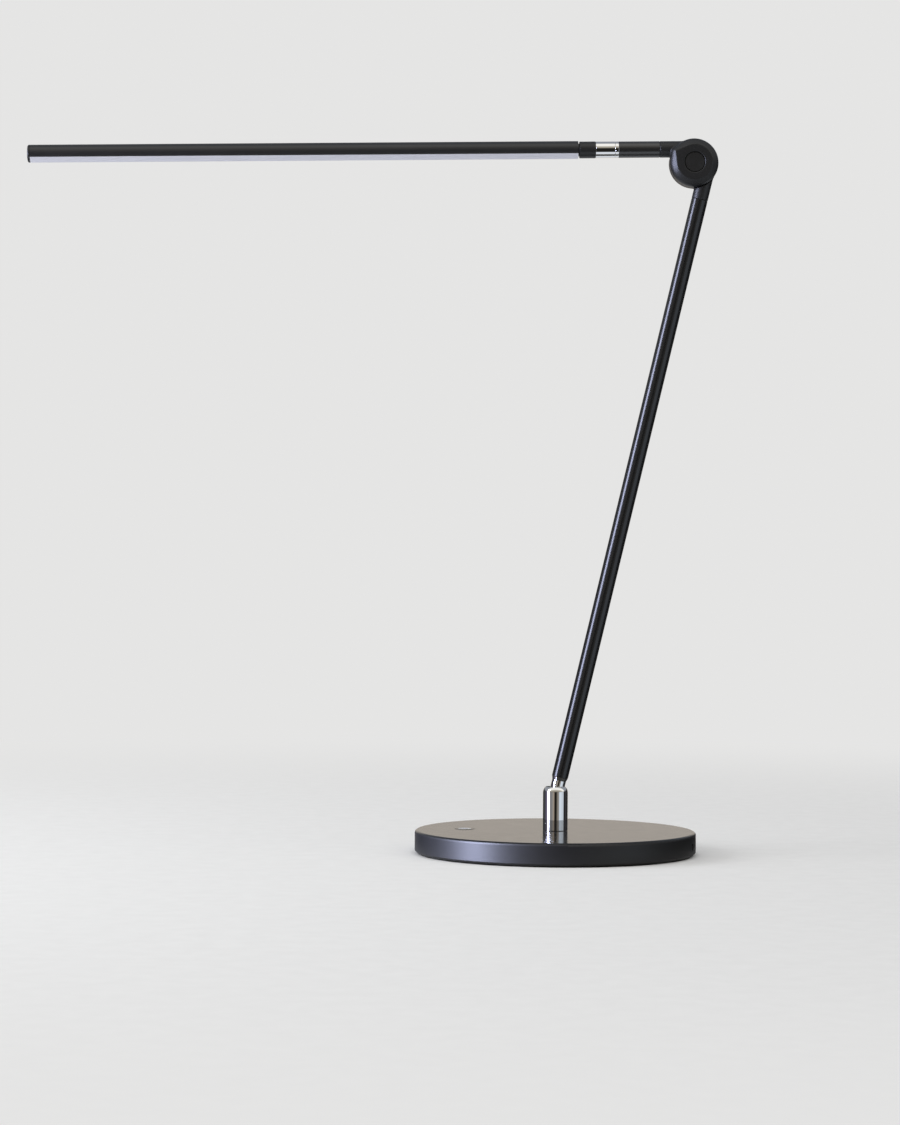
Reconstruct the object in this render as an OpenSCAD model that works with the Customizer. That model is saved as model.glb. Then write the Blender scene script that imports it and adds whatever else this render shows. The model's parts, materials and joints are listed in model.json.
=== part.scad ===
// Folding LED desk lamp: a round weighted base, a leaning post and a slim head on a folding elbow.
// Millimetres, +Z up. The origin is the middle of the base's underside. The arms lie in the XZ plane
// and the head points toward -X.

/* [Base] */
// Diameter of the base
base_d = 222; // [210:1:260]
// Thickness of the foot pad
pad_t = 2; // [1.6:0.1:3]
// Height of the pad that shows below the shell
pad_proud = 1.2; // [0.6:0.1:1.5]
// Thickness of the steel bottom plate
plate_t = 1.5; // [1.2:0.1:2.5]
// Inner height of the shell, above the bottom plate
room_h = 12.4; // [11:0.1:16]
// Thickness of the shell's top
top_t = 2.5; // [2:0.1:4]
// Thickness of the shell's rim
rim_t = 2.5; // [2.2:0.1:4]
// Radius of the rounded top edge
edge_r = 2.4; // [1:0.1:2.8]
// Chamfer under the rim
rim_chamfer = 1.8; // [0.5:0.1:2]
// Turn of the base under the arms as the lamp stands
base_turn = -8; // [-20:1:20]
// Radius of the circle on which the shell's screws stand
screw_circle_r = 88; // [84:1:92]
// Number of shell screws
screw_count = 4; // [4:1:4]
// Diameter of the shell screws
screw_d = 3; // [2.5:0.5:4]
// Length of the shell screws
screw_len = 8; // [6:0.5:9]

/* [Boards and ports] */
// Height of the boards above the bottom plate
board_lift = 1; // [1:0.1:1.5]
// Thickness of the boards
board_t = 1.2; // [1:0.1:1.6]
// Length of the driver board
board_l = 42; // [38:1:50]
// Width of the driver board
board_w = 44; // [42:1:54]
// Diameter of the board screws
board_screw_d = 2; // [1.6:0.2:2.6]
// Height of the ports' axes above their board
port_rise = 2.9; // [2.9:0.1:3.4]
// Distance between the two ports
port_pitch = 16; // [14:0.5:20]
// Turn of the ports from the point opposite the button
port_turn = -5; // [-15:1:15]
// Outer diameter of the power inlet's ring
inlet_ring_d = 5.6; // [5:0.1:6]
// Bore of the power inlet
inlet_bore_d = 3.6; // [3:0.1:4]
// Diameter of the inlet's centre pin
inlet_pin_d = 1.3; // [1:0.1:1.6]
// Depth of the inlet's bore
inlet_depth = 9; // [8:0.5:11]
// Length of the inlet's body behind the rim
inlet_body_l = 9; // [8:0.5:12]
// Outer width of the charging socket
socket_w = 13; // [12:0.1:13.5]
// Outer height of the charging socket
socket_h = 5.6; // [5:0.1:5.8]
// Length of the charging socket
socket_l = 14; // [12:0.5:18]
// Wall of the charging socket
socket_wall = 0.4; // [0.3:0.1:0.6]
// Thickness of the socket's tongue
tongue_t = 1.8; // [1.4:0.1:2]

/* [Button] */
// Distance of the button from the middle of the base
button_x = 72; // [60:1:80]
// Diameter of the button's cap
button_d = 15.8; // [13:0.1:18]
// Diameter of the pale disc in the cap
inlay_d = 10.4; // [8:0.1:11]
// Thickness of the pale disc
inlay_t = 1; // [0.8:0.1:1.4]
// Depth of the dish in the pale disc
dish_h = 0.5; // [0.2:0.1:0.6]
// Height of the cap above the base
button_proud = 0.2; // [0.1:0.1:1]
// Travel of the button
button_travel = 0.8; // [0.4:0.1:1]
// Width of the flange that keeps the cap in
button_flange = 1.3; // [0.8:0.1:1.6]
// Width of the push switch
switch_w = 6; // [5:0.5:6.5]
// Height of the push switch without its stem
switch_h = 3.5; // [3:0.1:4]
// Diameter of the button spring's wire
spring_wire_d = 0.5; // [0.4:0.1:0.6]
// Mean diameter of the button spring
spring_d = 11; // [10.5:0.1:12]
// Number of turns of the button spring
spring_turns = 5; // [4:1:7]

/* [Swivel] */
// Height of the chrome cup
cup_h = 34.7; // [32:0.1:45]
// Wall of the cup at its rim
cup_wall = 2.2; // [1.8:0.05:3]
// Width of the cup's rounded shoulder
cup_round = 3.2; // [2:0.1:4]
// Height of the cup's rounded shoulder
cup_shoulder = 5.4; // [3:0.1:7]
// Thickness of the cup's floor
cup_floor = 3; // [2:0.1:5]
// Depth of the tilt axis below the cup's rim
pivot_depth = 7.6; // [6.5:0.1:9]
// Diameter of the hollow swivel shaft
shaft_d = 10; // [9:0.1:11]
// Bore of the swivel shaft
shaft_bore_d = 6; // [5:0.1:7]
// Wall of the swivel bush
bush_wall = 1.5; // [1:0.1:2]
// Width of the bush's flange
bush_flange = 2.1; // [1.5:0.1:3]
// Thickness of the bush's flange
bush_flange_t = 1; // [0.8:0.1:1.5]
// Diameter of the stop pin
stop_pin_d = 2; // [1.5:0.1:2.5]
// Thickness of the stop washer
stop_washer_t = 1; // [0.8:0.1:1.2]
// Width of the stop washer's tab
stop_tab_w = 4; // [3:0.1:5]
// Width across flats of the swivel nut
nut_af = 15; // [14:0.5:16]
// Diameter of the trunnion pins
trunnion_d = 3; // [2.5:0.1:3.4]
// Thickness of the tilt washers
tilt_washer_t = 0.5; // [0.4:0.1:0.8]

/* [Post] */
// Lean of the post, where the neck meets the rim of the cup
lean = 13.2; // [8:0.1:14]
// Distance from the tilt axis to the elbow, along the post
post_len = 511.7; // [400:0.1:600]
// Outer diameter of the tubes
tube_d = 12.9; // [12:0.1:14]
// Wall of the tubes
tube_wall = 1.2; // [1:0.1:1.4]
// Diameter of the chrome neck
neck_d = 11.1; // [10:0.1:11.5]
// Distance from the tilt axis to the neck's flare
neck_len = 12.6; // [12:0.1:20]
// Length of the flare under the tube
flare_len = 2.6; // [1:0.1:4]
// Length of the neck inside the tube
neck_spigot_len = 24; // [16:1:40]
// Diameter of the neck inside the tube
neck_spigot_d = 9; // [8:0.1:9]
// Width of the neck's foot between the washers
foot_w = 7.8; // [7:0.1:8]
// Radius of the neck's foot
foot_r = 4.6; // [4:0.1:4.8]

/* [Elbow] */
// Distance from the elbow's axis to the middle of each tube
arm_offset = 11.35; // [11:0.05:13]
// Width of the knuckle outside the tubes
knuckle_margin = 1.35; // [0.8:0.05:2]
// Thickness of each half of the knuckle
half_t = 12.3; // [9.2:0.1:13]
// Width of the knuckle's sloping flank
knuckle_flank = 5.1; // [3:0.1:6]
// Slope of the flank, from the knuckle's face
flank_slope = 40; // [30:1:60]
// Distance from the elbow's axis to the seam of the tubes
stub_len = 27; // [25:0.5:35]
// Length of the stubs inside the tubes
stub_spigot_len = 10; // [8:0.5:10]
// Diameter of the elbow's bolt
bolt_d = 6; // [5:0.5:6.5]
// Thickness of the web that the bolt clamps
web_t = 4.1; // [3.8:0.1:5]
// Diameter of the recess for the cap
cap_recess_d = 16.4; // [16:0.1:18]
// Width of the groove around the cap
cap_groove = 0.7; // [0.3:0.1:0.8]
// Width of the annular wire channel between the halves
channel_w = 4; // [3.2:0.1:4.2]
// Depth of the wire channel in each half
channel_depth = 3.8; // [3.6:0.1:4.2]
// Diameter of the friction disc
friction_d = 23; // [18:0.5:23]
// Thickness of the friction disc
friction_t = 1.1; // [0.8:0.1:1.6]

/* [Arm and head] */
// Droop of the arm below level as the lamp stands
droop = 0.9; // [0:0.1:5]
// Length of the short arm tube
arm_tube_len = 32.3; // [30:0.1:60]
// Width of the thin chrome ring
ring_len = 2.8; // [2.4:0.1:4]
// Length of the chrome sleeve
sleeve_len = 15.3; // [12:0.1:25]
// Length of the black collar
collar_len = 12.8; // [12:0.1:20]
// Diameter of the black collar
collar_d = 13.2; // [12.8:0.1:14]
// Gap between the collar and the head
neck_gap = 1; // [0.5:0.1:2]
// Diameter of the spindle
spindle_d = 8.4; // [8:0.1:8.6]
// Bore of the spindle
spindle_bore_d = 4; // [3:0.1:5]
// Length of the spindle's seat in the arm tube
spindle_seat_len = 11; // [8:0.5:12]
// Diameter of the twist stop pin
twist_pin_d = 1; // [0.8:0.1:1]
// Diameter of the head
head_d = 14; // [13:0.1:15]
// Wall of the head's extrusion
head_wall = 1.2; // [1:0.1:1.4]
// Length of the head's extrusion
head_len = 432; // [300:1:500]
// Height of the diffuser's edge below the middle of the head
slot_drop = 3.3; // [3.2:0.05:4]
// Thickness of the diffuser
diffuser_t = 1.4; // [1.4:0.1:1.8]
// Height of the strip's seat above the middle of the head
web_rise = 1.5; // [1.2:0.1:2]
// Thickness of the strip's seat
seat_t = 1.2; // [1:0.1:1.6]
// Length of the plugs in the ends of the head
plug_len = 11; // [8:0.5:16]
// Width of the LED strip
strip_w = 8; // [6:0.5:9]
// Thickness of the LED strip
strip_t = 1; // [0.8:0.1:1.2]
// Distance between the chips
chip_pitch = 9; // [6:0.5:20]
// Thickness of the end cap's disc
end_cap_t = 2; // [1.5:0.1:4]
// Rounding of the end cap
end_cap_round = 0.8; // [0.3:0.1:1.2]

/* [Fits] */
// Radial clearance of a running fit
run_gap = 0.05; // [0.03:0.01:0.08]
// Clearance between pieces that seat on each other
seat_gap = 0.05; // [0.03:0.01:0.1]
// Radial clearance of loose fits, such as the button in its hole
loose_gap = 0.25; // [0.2:0.05:0.4]
// Clearance of the knuckle's halves over each other's stubs
swing_gap = 0.4; // [0.3:0.05:0.6]
// Gap under the turning cup
foot_gap = 0.15; // [0.1:0.05:0.3]
// Gap between the neck and the rim of the cup at the stop
stop_gap = 0.2; // [0.1:0.05:0.4]
// Diameter of the inner wire
wire_d = 2.2; // [1.6:0.1:2.4]

/* [Hidden] */
$fn = 96;

// A length past the end of whatever is cut
cut = 1;

// Base: heights from the table up
base_r = base_d / 2;
shell_z = pad_t - pad_proud;
plate_z = pad_t;
room_z = pad_t + plate_t;
roof_z = room_z + room_h;
base_z = roof_z + top_t;
rim_in_r = base_r - rim_t;
screw_boss_r = screw_d / 2 + 3;
screw_head_r = screw_d / 2 + min(1.4, plate_t - 0.1);

// Boards, ports and their screws
board_z = room_z + board_lift;
board_top = board_z + board_t;
port_z = board_top + port_rise;
post_r = board_screw_d / 2 + 1.6;
board_head_r = board_screw_d / 2 + 0.9;
board_head_t = board_lift - 0.1;
port_face_x = sqrt(pow(base_r, 2) - pow(port_pitch / 2 + socket_w / 2, 2)) - 0.3;
port_room_x = sqrt(pow(rim_in_r, 2) - pow(port_pitch / 2 + socket_w / 2, 2)) - 0.3;
board_x1 = port_room_x - 3;
board_x0 = board_x1 - board_l;
board_screw_x = board_x0 + post_r + 1;
board_screw_y = board_w / 2 - post_r - 1;
switch_screw_y = button_d / 2 + loose_gap + button_flange + post_r + 0.6;
switch_board_w = 2 * (switch_screw_y + post_r + 0.4);
switch_board_l = spring_d + 7;
wire_y_base = wire_d + 1.5;

// Button: the plunger stops just above the switch's stem
button_r = button_d / 2;
stem_top = board_top + switch_h + 0.7;
plunger_z = stem_top + button_travel + seat_gap;
flange_top = roof_z - 0.1;
flange_z = flange_top - 1.1;
cap_top = base_z + button_proud;
spring_r = spring_d / 2;

// Swivel: from the cup down to the nut
cup_z = base_z + foot_gap;
rim_z = cup_z + cup_h;
pivot_z = rim_z - pivot_depth;
neck_r = neck_d / 2;
cup_bore_r = neck_r / cos(lean) + pivot_depth * tan(lean) + stop_gap;
cup_r = cup_bore_r + cup_wall;
shaft_r = shaft_d / 2;
bush_r = shaft_r + run_gap + bush_wall;
bush_flange_r = bush_r + bush_flange;
stop_circle_r = bush_r + stop_pin_d / 2 + 3.5;
hub_r = stop_circle_r + stop_pin_d / 2 + 1;
hub_z = roof_z - 3.5;
washer_top = hub_z - 0.1;
washer_z = washer_top - stop_washer_t;
washer_r = bush_r + 2.4;
spring_washer_h = 0.75;
nut_top = washer_z - seat_gap - spring_washer_h - seat_gap;
nut_t = 2.1;
shaft_z = nut_top - nut_t - 0.3;
fork_z = cup_z + cup_floor;
fork_r = cup_bore_r - seat_gap;
slot_half = foot_w / 2 + tilt_washer_t + 2 * seat_gap;
ear_top = pivot_z + trunnion_d / 2 + 1.7;
slot_z = pivot_z - foot_r - 0.9;
shaft_top = fork_z + 5;

// Post: lengths along it from the tilt axis
tube_r = tube_d / 2;
tube_in_r = tube_r - tube_wall;
shoulder_s = foot_r;
tube_s = neck_len + flare_len;
seam_s = post_len - stub_len;
spigot_r = neck_spigot_d / 2;
wire_r = wire_d / 2;
neck_bore_r = wire_r + 0.3;

// Elbow: across its axis, from the mating faces out
face_gap = 0.1;
knuckle_r = arm_offset + tube_r + knuckle_margin;
face_y = face_gap + half_t;
face_r = knuckle_r - knuckle_flank;
rim_round = 1.5;
cusp_x = 9;
cusp_z = -15.6;
floor_y = face_gap + web_t;
bolt_r = bolt_d / 2;
cap_recess_r = cap_recess_d / 2;
cap_r = cap_recess_r - cap_groove;
cap_t = 1.4;
cap_sink = 0.2;
cap_skirt = 1.05;
channel_circle_r = knuckle_r - channel_w / 2 - 2.3;
wire_y = face_gap + wire_d / 2 + 1.2;
friction_r = friction_d / 2;
elbow_x = post_len * sin(lean) - arm_offset * cos(lean);
elbow_z = pivot_z + post_len * cos(lean) + arm_offset * sin(lean);

// Arm and head: lengths along the head from the elbow's axis
ring_u = stub_len + arm_tube_len + seat_gap;
sleeve_u = ring_u + ring_len + 0.1;
collar_u = sleeve_u + sleeve_len;
collar_end_u = collar_u + collar_len;
head_u = collar_end_u + neck_gap;
head_end_u = head_u + head_len;
spindle_r = spindle_d / 2;
spindle_bore_r = spindle_bore_d / 2;
collar_bore_r = tube_r - 0.8;
sleeve_spigot_r = collar_bore_r - seat_gap;
sleeve_spigot_len = 3.3;
spindle_washer_u = collar_u + sleeve_spigot_len + 0.1;
spindle_washer_t = 0.8;
spindle_nut_u = spindle_washer_u + spindle_washer_t + seat_gap;
spindle_nut_t = 3;
spindle_end_u = spindle_nut_u + spindle_nut_t + 0.3;
collar_wall_u = max(spindle_end_u + 0.8, collar_end_u - 2.5);
twist_pin_r = twist_pin_d / 2;
twist_circle_r = (tube_r + spindle_r + run_gap) / 2;
twist_slot_depth = 1.6;
groove_depth = 2;
head_r = head_d / 2;
head_in_r = head_r - head_wall;
plug_r = head_in_r - seat_gap - 0.05;
strip_x = web_rise - strip_t - 0.02;
strip_u0 = head_u + plug_len + 2;
strip_u1 = head_end_u - plug_len - 2;
chip_l = 3;
chip_w = 3.4;
chip_t = 0.7;
chip_count = floor((strip_u1 - strip_u0 - 2 * chip_l) / chip_pitch) + 1;
chip_u0 = (strip_u0 + strip_u1 - (chip_count - 1) * chip_pitch) / 2;

// Colours
black = "#26272b";
black_plastic = "#1d1e21";
chrome = "#d6d8da";
steel = "#9fa3a6";
brass = "#b79a52";
board_green = "#2f5d46";
rubber = "#1b1b1c";

// Frames
module in_base() {
  rotate([0, 0, base_turn]) children();
}

module at_button() {
  in_base() translate([-button_x, 0, 0]) children();
}

module at_ports() {
  in_base() rotate([0, 0, port_turn]) children();
}

// Z runs up the post and X points to the back of it
module in_post() {
  translate([0, 0, pivot_z]) rotate([0, lean, 0]) children();
}

module at_post_elbow() {
  in_post() translate([-arm_offset, 0, post_len]) children();
}

// Z runs along the arm to the tip of the head and X points up
module at_arm_elbow() {
  translate([elbow_x, 0, elbow_z]) rotate([0, -90 - droop, 0]) children();
}

module in_head() {
  at_arm_elbow() translate([arm_offset, 0, 0]) children();
}

// Shared shapes
module rod(r, z0, z1) {
  translate([0, 0, z0]) cylinder(r = r, h = z1 - z0);
}

module ring(r_out, r_in, z0, z1) {
  difference() {
    rod(r_out, z0, z1);
    rod(r_in, z0 - cut, z1 + cut);
  }
}

module rod_y(r, y0, y1) {
  rotate([-90, 0, 0]) rod(r, y0, y1);
}

module ring_y(r_out, r_in, y0, y1) {
  rotate([-90, 0, 0]) ring(r_out, r_in, y0, y1);
}

module slab(x0, x1, y0, y1, z0, z1) {
  translate([x0, y0, z0]) cube([x1 - x0, y1 - y0, z1 - z0]);
}

// Points round an elliptical corner, from its side up to its top
function corner(r, z, width, height) = [
  for (k = [0 : 8])
    let (a = 90 * k / 8)
      [r - width + width * cos(a), z - height + height * sin(a)]
];

// A conical spring washer, wide end down
module cone_washer(r_out, r_in, t, h) {
  rotate_extrude() polygon([[r_in, h - t], [r_in, h], [r_out, t], [r_out, 0]]);
}

module at_shell_screws() {
  in_base()
    for (i = [0 : screw_count - 1])
      rotate([0, 0, 360 / screw_count * (i + 0.5)])
        translate([screw_circle_r, 0, 0]) children();
}

module at_power_screws() {
  at_ports()
    for (side = [-1, 1])
      translate([board_screw_x, side * board_screw_y, 0]) children();
}

module at_switch_screws() {
  at_button()
    for (side = [-1, 1])
      translate([0, side * switch_screw_y, 0]) children();
}

// Base
module shell_outline() {
  difference() {
    polygon([
      [0, shell_z], [base_r - rim_chamfer, shell_z], [base_r, shell_z + rim_chamfer],
      [base_r, base_z], [0, base_z]
    ]);
    difference() {
      translate([base_r - edge_r, base_z - edge_r]) square(edge_r + cut);
      translate([base_r - edge_r, base_z - edge_r]) circle(r = edge_r);
    }
  }
}

module base_cover() {
  color(black)
  difference() {
    union() {
      rotate_extrude($fn = 240)
        difference() {
          shell_outline();
          translate([0, shell_z - cut]) square([rim_in_r, roof_z - shell_z + cut]);
        }
      rod(hub_r, hub_z, roof_z + cut);
      at_shell_screws() rod(screw_boss_r, room_z, roof_z + cut);
      at_power_screws() rod(post_r, board_top, roof_z + cut);
      at_switch_screws() rod(post_r, board_top, roof_z + cut);
    }
    rod(bush_r + seat_gap, hub_z - cut, base_z + cut);
    rod(bush_flange_r + seat_gap, base_z - bush_flange_t, base_z + cut);
    rotate([0, 0, 180]) translate([stop_circle_r, 0, 0])
      rod(stop_pin_d / 2 + seat_gap, hub_z - cut, hub_z + 3);
    at_button() rod(button_r + loose_gap, roof_z - cut, base_z + cut);
    at_shell_screws() rod(screw_d / 2 + seat_gap, room_z - cut, plate_z + screw_len + 0.5);
    at_power_screws() rod(board_screw_d / 2 + seat_gap, board_top - cut, board_top + 5);
    at_switch_screws() rod(board_screw_d / 2 + seat_gap, board_top - cut, board_top + 5);
    at_ports() {
      translate([0, -port_pitch / 2, port_z]) rotate([0, 90, 0])
        rod(inlet_ring_d / 2 + seat_gap, rim_in_r - 8, base_r + cut);
      translate([0, port_pitch / 2, port_z])
        slab(rim_in_r - 8, base_r + cut, -socket_w / 2 - 0.1, socket_w / 2 + 0.1,
             -socket_h / 2 - 0.1, socket_h / 2 + 0.1);
    }
  }
}

module base_weight() {
  color(steel)
  difference() {
    rod(rim_in_r - 0.4, room_z, roof_z - 0.4, $fn = 240);
    rod(hub_r + 1.5, room_z - cut, roof_z + cut);
    at_shell_screws() rod(screw_boss_r + 0.4, room_z - cut, roof_z + cut);
    at_button()
      slab(-switch_board_l / 2 - 1, switch_board_l / 2 + 1, -switch_board_w / 2 - 1,
           switch_board_w / 2 + 1, room_z - cut, roof_z + cut);
    at_ports()
      slab(board_x0 - 2, base_r + cut, -board_w / 2 - 2, board_w / 2 + 2, room_z - cut, roof_z + cut);
    at_ports() slab(0, board_x0, -wire_d, wire_d, room_z - cut, room_z + wire_d + 1);
    in_base()
      slab(-button_x, board_x0, wire_y_base - wire_d, wire_y_base + wire_d, room_z - cut,
           room_z + wire_d + 1);
  }
}

module base_plate() {
  color(steel)
  difference() {
    rod(rim_in_r - 0.2, plate_z, room_z, $fn = 240);
    at_shell_screws() {
      rod(screw_d / 2 + 0.1, plate_z - cut, room_z + cut);
      translate([0, 0, plate_z])
        cylinder(r1 = screw_head_r + seat_gap, r2 = screw_d / 2 + seat_gap, h = screw_head_r - screw_d / 2);
    }
  }
}

module foot_pad() {
  color(rubber) rod(rim_in_r - 0.6, 0, plate_z, $fn = 240);
}

module base_screws() {
  color(steel)
  at_shell_screws() {
    translate([0, 0, plate_z])
      cylinder(r1 = screw_head_r, r2 = screw_d / 2, h = screw_head_r - screw_d / 2);
    rod(screw_d / 2, plate_z, plate_z + screw_len);
  }
}

module swivel_bush() {
  color(brass)
  difference() {
    union() {
      rod(bush_r, hub_z, base_z);
      rod(bush_flange_r, base_z - bush_flange_t, base_z);
    }
    rod(shaft_r + run_gap, hub_z - cut, base_z + cut);
  }
}

module swivel_stop_pin() {
  color(steel)
  rotate([0, 0, 180]) translate([stop_circle_r, 0, 0])
    rod(stop_pin_d / 2, washer_z - 0.2, hub_z + 2.9);
}

module switch_board() {
  color(board_green)
  difference() {
    at_button()
      slab(-switch_board_l / 2, switch_board_l / 2, -switch_board_w / 2, switch_board_w / 2,
           board_z, board_top);
    at_switch_screws() rod(board_screw_d / 2 + 0.1, board_z - cut, board_top + cut);
  }
}

module tact_switch() {
  color(black_plastic)
  at_button() {
    slab(-switch_w / 2, switch_w / 2, -switch_w / 2, switch_w / 2, board_top, board_top + switch_h);
    rod(1.7, board_top, stem_top);
  }
}

module power_board() {
  color(board_green)
  difference() {
    at_ports() slab(board_x0, board_x1, -board_w / 2, board_w / 2, board_z, board_top);
    at_power_screws() rod(board_screw_d / 2 + 0.1, board_z - cut, board_top + cut);
  }
}

module power_parts() {
  at_ports() translate([board_x0, 0, board_top]) {
    color(black_plastic) translate([7, 3, 0]) rod(4, 0, 7.5);
    color(rubber) slab(4, 14, -11, -1, 0, 4.5);
    color(black_plastic) slab(18, 23, 8, 14, 0, 1.6);
    color(brass) slab(17, 19.5, -9, -6, 0, 1.2);
  }
}

module board_screws() {
  color(steel) {
    at_power_screws() board_screw();
    at_switch_screws() board_screw();
  }
}

module board_screw() {
  rod(board_head_r, board_z - board_head_t, board_z);
  rod(board_screw_d / 2, board_z - board_head_t, board_top + 4.5);
}

module dc_jack() {
  color(black_plastic)
  at_ports() translate([0, -port_pitch / 2, port_z])
    difference() {
      union() {
        slab(port_room_x - inlet_body_l, port_room_x, -3.5, 3.5, -port_rise, port_rise);
        rotate([0, 90, 0]) rod(inlet_ring_d / 2, port_room_x - cut, port_face_x);
      }
      rotate([0, 90, 0]) rod(inlet_bore_d / 2, port_face_x - inlet_depth, port_face_x + cut);
    }
}

module dc_jack_pin() {
  color(brass)
  at_ports() translate([0, -port_pitch / 2, port_z]) rotate([0, 90, 0])
    rod(inlet_pin_d / 2, port_face_x - inlet_depth, port_face_x - 1.2);
}

module usb_shell() {
  color(chrome)
  at_ports() translate([0, port_pitch / 2, port_z])
    difference() {
      slab(port_face_x - socket_l, port_face_x, -socket_w / 2, socket_w / 2, -socket_h / 2, socket_h / 2);
      slab(port_face_x - socket_l + socket_wall, port_face_x + cut, -socket_w / 2 + socket_wall,
           socket_w / 2 - socket_wall, -socket_h / 2 + socket_wall, socket_h / 2 - socket_wall);
    }
}

module usb_tongue() {
  back_x = port_face_x - socket_l + socket_wall;
  inner_w = socket_w / 2 - socket_wall - seat_gap;
  inner_h = socket_h / 2 - socket_wall - seat_gap;
  color(black_plastic)
  at_ports() translate([0, port_pitch / 2, port_z]) {
    slab(back_x, back_x + 2.5, -inner_w, inner_w, -inner_h, inner_h);
    slab(back_x, port_face_x - 1, -inner_w + 0.6, inner_w - 0.6, inner_h - 0.3 - tongue_t, inner_h - 0.3);
  }
}

// From the driver board, under the nut and up into the shaft
module base_wire() {
  lie_z = room_z + wire_r + 0.2;
  color(black_plastic)
  at_ports() {
    translate([0, 0, lie_z]) rotate([0, 90, 0]) rod(wire_r, 0, board_x0 - seat_gap);
    translate([0, 0, lie_z]) sphere(r = wire_r);
    rod(wire_r, lie_z, shaft_z + 1);
  }
}

// From the switch board to the driver board
module switch_wire() {
  thin_r = wire_r * 0.7;
  color(black_plastic)
  in_base() translate([0, wire_y_base, room_z + thin_r + 0.2]) rotate([0, 90, 0])
    rod(thin_r, -button_x + switch_board_l / 2 + seat_gap, board_x0 - 1);
}

// Button
module button_cap() {
  color(black)
  at_button()
    difference() {
      union() {
        rotate_extrude()
          difference() {
            translate([0, flange_z]) square([button_r, cap_top - flange_z]);
            difference() {
              translate([button_r - 0.5, cap_top - 0.5]) square(0.5 + cut);
              translate([button_r - 0.5, cap_top - 0.5]) circle(r = 0.5);
            }
          }
        rod(button_r + button_flange, flange_z, flange_top);
        rod(2, plunger_z, flange_z + cut);
      }
      rod(inlay_d / 2 + seat_gap, cap_top - inlay_t - seat_gap, cap_top + cut);
    }
}

module button_inlay() {
  inlay_r = inlay_d / 2;
  dish_r = (pow(inlay_r - 0.3, 2) + pow(dish_h, 2)) / (2 * dish_h);
  color(chrome)
  at_button()
    difference() {
      rod(inlay_r, cap_top - inlay_t, cap_top);
      translate([0, 0, cap_top - dish_h + dish_r]) sphere(r = dish_r);
    }
}

// One ring of the spring's wire, at a fraction t of the way up
function spring_ring(t, z0, z1) = [
  for (k = [0 : 7])
    let (a = 360 * spring_turns * t, b = 45 * k, r = spring_r + spring_wire_d / 2 * cos(b))
      [r * cos(a), r * sin(a), z0 + (z1 - z0) * t + spring_wire_d / 2 * sin(b)]
];

module button_spring() {
  steps = 24 * spring_turns;
  z0 = board_top + spring_wire_d / 2 + seat_gap;
  z1 = flange_z - spring_wire_d / 2 - seat_gap;
  points = [for (i = [0 : steps]) each spring_ring(i / steps, z0, z1)];
  sides = [
    for (i = [0 : steps - 1], k = [0 : 7])
      let (a = 8 * i + k, b = 8 * i + (k + 1) % 8)
        each [[a, a + 8, b], [b, a + 8, b + 8]]
  ];
  first = [[for (k = [0 : 7]) k]];
  last = [[for (k = [7 : -1 : 0]) 8 * steps + k]];
  color(steel) at_button() polyhedron(points = points, faces = concat(sides, first, last));
}

// Swivel
module swivel_housing() {
  color(chrome)
  difference() {
    rotate_extrude()
      polygon(concat(
        [[0, cup_z], [cup_r, cup_z]],
        corner(cup_r, rim_z, cup_round, cup_shoulder),
        [[0, rim_z]]
      ));
    rod(cup_bore_r, fork_z, rim_z + cut);
    rod(shaft_r + seat_gap, cup_z - cut, fork_z + cut);
  }
}

module swivel_fork() {
  color(steel)
  difference() {
    rod(fork_r, fork_z, ear_top);
    slab(-cup_r, cup_r, -slot_half, slot_half, slot_z, ear_top + cut);
    rod(shaft_r + seat_gap, fork_z - cut, shaft_top + seat_gap);
    rod(shaft_bore_d / 2, fork_z, slot_z + cut);
    translate([0, 0, pivot_z]) rod_y(trunnion_d / 2 + 0.02, -cup_r, cup_r);
  }
}

module swivel_shaft() {
  color(steel) ring(shaft_r, shaft_bore_d / 2, shaft_z, shaft_top);
}

module swivel_washer() {
  color(steel)
  difference() {
    union() {
      rod(washer_r, washer_z, washer_top);
      slab(0, stop_circle_r + stop_pin_d / 2, -stop_tab_w / 2, stop_tab_w / 2, washer_z, washer_top);
    }
    rod(shaft_r + seat_gap, washer_z - cut, washer_top + cut);
  }
}

module swivel_spring_washer() {
  color(steel) translate([0, 0, nut_top + seat_gap])
    cone_washer(washer_r - 0.5, shaft_r + 0.1, 0.4, spring_washer_h);
}

module swivel_nut() {
  color(steel)
  difference() {
    translate([0, 0, nut_top - nut_t]) cylinder(r = nut_af / 2 / cos(30), h = nut_t, $fn = 6);
    rod(shaft_r + seat_gap, nut_top - nut_t - cut, nut_top + cut);
  }
}

module trunnion_pins() {
  color(steel)
  translate([0, 0, pivot_z])
    for (side = [0, 180])
      rotate([0, 0, side]) rod_y(trunnion_d / 2, neck_bore_r + 0.7, fork_r - 0.6);
}

module tilt_washers() {
  color(brass)
  translate([0, 0, pivot_z])
    for (side = [0, 180])
      rotate([0, 0, side])
        ring_y(foot_r - 0.4, trunnion_d / 2 + 0.1, foot_w / 2 + seat_gap,
               foot_w / 2 + seat_gap + tilt_washer_t);
}

module swivel_wire() {
  color(black_plastic) rod(wire_r, shaft_z + 1.1, pivot_z - foot_r - 0.3);
}

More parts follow.
